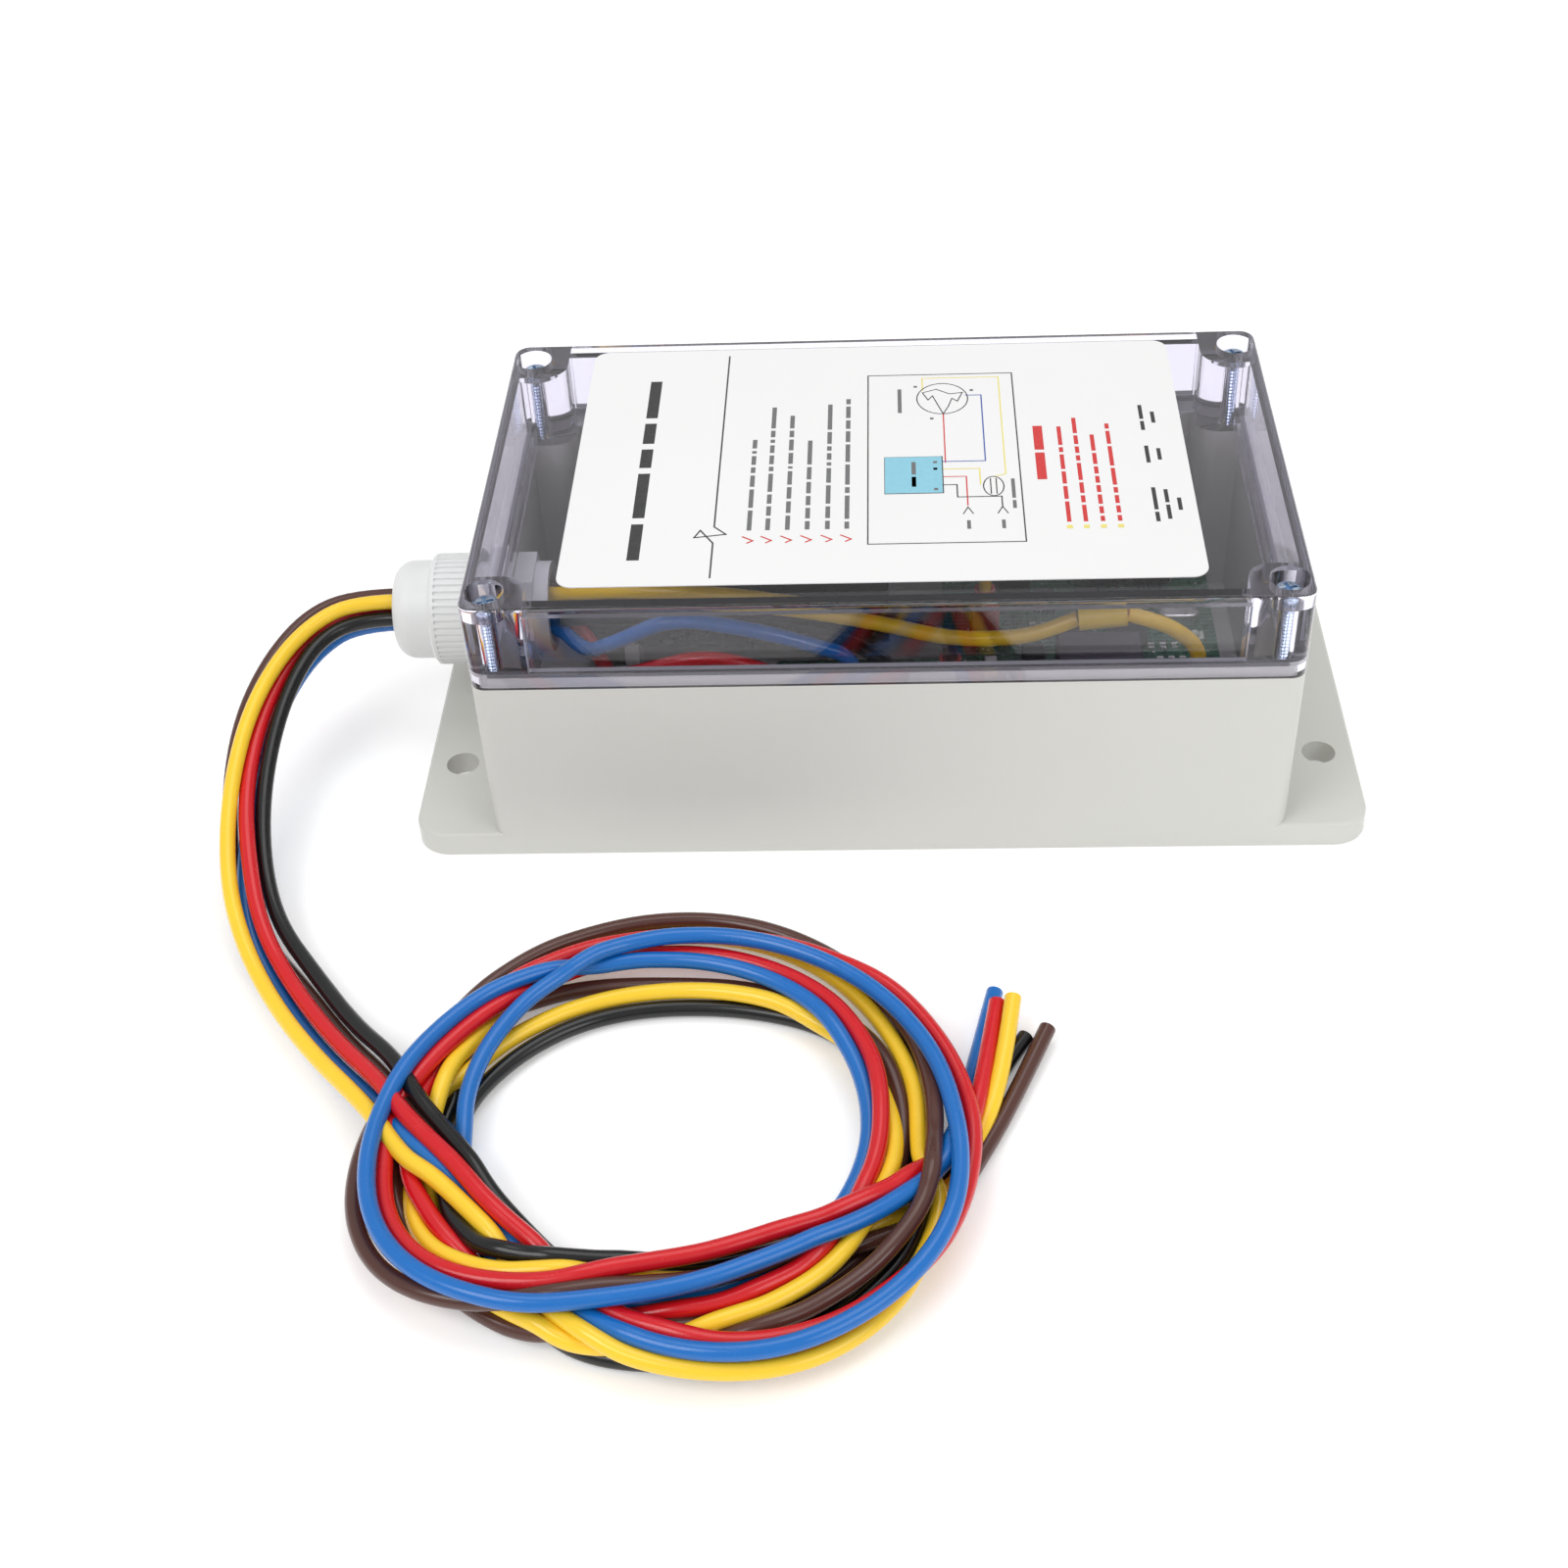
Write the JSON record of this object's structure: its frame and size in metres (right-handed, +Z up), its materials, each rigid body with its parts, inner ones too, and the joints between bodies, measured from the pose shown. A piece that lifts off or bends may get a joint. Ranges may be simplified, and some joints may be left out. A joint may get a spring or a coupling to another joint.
{
  "type": "motor soft starter box",
  "caption": "Clear-lid electrical enclosure with mounting ears, a cable gland and coiled leads, holding a start capacitor and control board.",
  "frame": {"origin": "middle of the housing's underside", "axes": "+X along the box away from the cable gland, -Y towards the front, +Z up"},
  "size_m": [0.2905, 0.2815, 0.0782],
  "materials": {
    "housing_grey": "satin light warm grey ABS",
    "lid_clear": "clear polycarbonate",
    "seal_silicone": "translucent silicone cord",
    "label_white": "white printed polyester sheet",
    "zinc_screw": "blue-tinted zinc plating",
    "brass_insert": "knurled brass",
    "gland_white": "white nylon",
    "gland_rubber": "grey neoprene",
    "board_green": "green solder mask on glass-epoxy",
    "capacitor_black": "black phenolic",
    "tin_metal": "tinned metal",
    "nylon_black": "black nylon",
    "aluminium_sink": "plain aluminium",
    "relay_grey": "dark grey moulded case",
    "film_tan": "tan epoxy-filled box",
    "ceramic_white": "white cement body",
    "tape_yellow": "yellow-taped winding",
    "can_dark": "shrink-sleeved can",
    "varistor_blue": "blue epoxy coat",
    "chip_black": "black moulded packages",
    "lamp_clear": "water-clear lamp body",
    "sleeve_clear": "red insulated push-on sleeve",
    "lead_yellow": "glossy yellow PVC",
    "lead_black": "glossy black PVC",
    "lead_blue": "glossy blue PVC",
    "lead_red": "glossy red PVC",
    "lead_brown": "glossy brown PVC",
    "coil_mixed": "mixed PVC leads"
  },
  "bodies": {
    "housing": {"base_housing": "housing_grey", "threaded_inserts": "brass_insert", "gland_body": "gland_white", "gland_washer": "gland_rubber", "gland_locknut": "gland_white", "gland_bush": "gland_rubber", "circuit_board": "board_green", "board_screws": "tin_metal", "start_capacitor": "capacitor_black", "capacitor_terminals": "tin_metal", "capacitor_strap": "nylon_black", "heat_sink": "aluminium_sink", "thyristors": "chip_black", "current_transformer": "nylon_black", "power_relay": "relay_grey", "film_capacitor": "film_tan", "cement_resistor": "ceramic_white", "supply_transformer": "tape_yellow", "filter_capacitors": "can_dark", "varistor": "varistor_blue", "control_chips": "chip_black", "small_parts": "ceramic_white", "crystal": "tin_metal", "status_leds": "lamp_clear", "terminal_tabs": "tin_metal", "spade_sleeves": "sleeve_clear", "splice_cap": "ceramic_white", "jumper_leads": "lead_yellow", "lead_coil": "coil_mixed", "inner_lead_yellow": "lead_yellow", "outer_lead_yellow": "lead_yellow", "lead_tail_yellow": "lead_yellow", "inner_lead_black": "lead_black", "outer_lead_black": "lead_black", "lead_tail_black": "lead_black", "inner_lead_blue": "lead_blue", "outer_lead_blue": "lead_blue", "lead_tail_blue": "lead_blue", "inner_lead_red": "lead_red", "outer_lead_red": "lead_red", "lead_tail_red": "lead_red", "inner_lead_brown": "lead_brown", "outer_lead_brown": "lead_brown", "lead_tail_brown": "lead_brown"},
    "lid": {"clear_lid": "lid_clear", "lid_seal": "seal_silicone", "lid_label": "label_white"},
    "gland_nut": {"gland_nut": "gland_white"},
    "lid_screw_front_left": {"lid_screw_front_left": "zinc_screw"},
    "lid_screw_back_left": {"lid_screw_back_left": "zinc_screw"},
    "lid_screw_front_right": {"lid_screw_front_right": "zinc_screw"},
    "lid_screw_back_right": {"lid_screw_back_right": "zinc_screw"}
  },
  "joints": [
    {"name": "lid_lift", "type": "slide", "parent": "housing", "child": "lid", "axis": [0, 0, 1], "range_m": [0, 0.06]},
    {"name": "gland_nut_turn", "type": "hinge", "parent": "housing", "child": "gland_nut", "pos_m": [-0.119, 0, 0.0338], "axis": [1, 0, 0], "continuous": true},
    {"name": "lid_screw_front_left_back_out", "type": "slide", "parent": "lid", "child": "lid_screw_front_left", "axis": [0, 0, 1], "range_m": [0, 0.034]},
    {"name": "lid_screw_back_left_back_out", "type": "slide", "parent": "lid", "child": "lid_screw_back_left", "axis": [0, 0, 1], "range_m": [0, 0.034]},
    {"name": "lid_screw_front_right_back_out", "type": "slide", "parent": "lid", "child": "lid_screw_front_right", "axis": [0, 0, 1], "range_m": [0, 0.034]},
    {"name": "lid_screw_back_right_back_out", "type": "slide", "parent": "lid", "child": "lid_screw_back_right", "axis": [0, 0, 1], "range_m": [0, 0.034]}
  ]
}
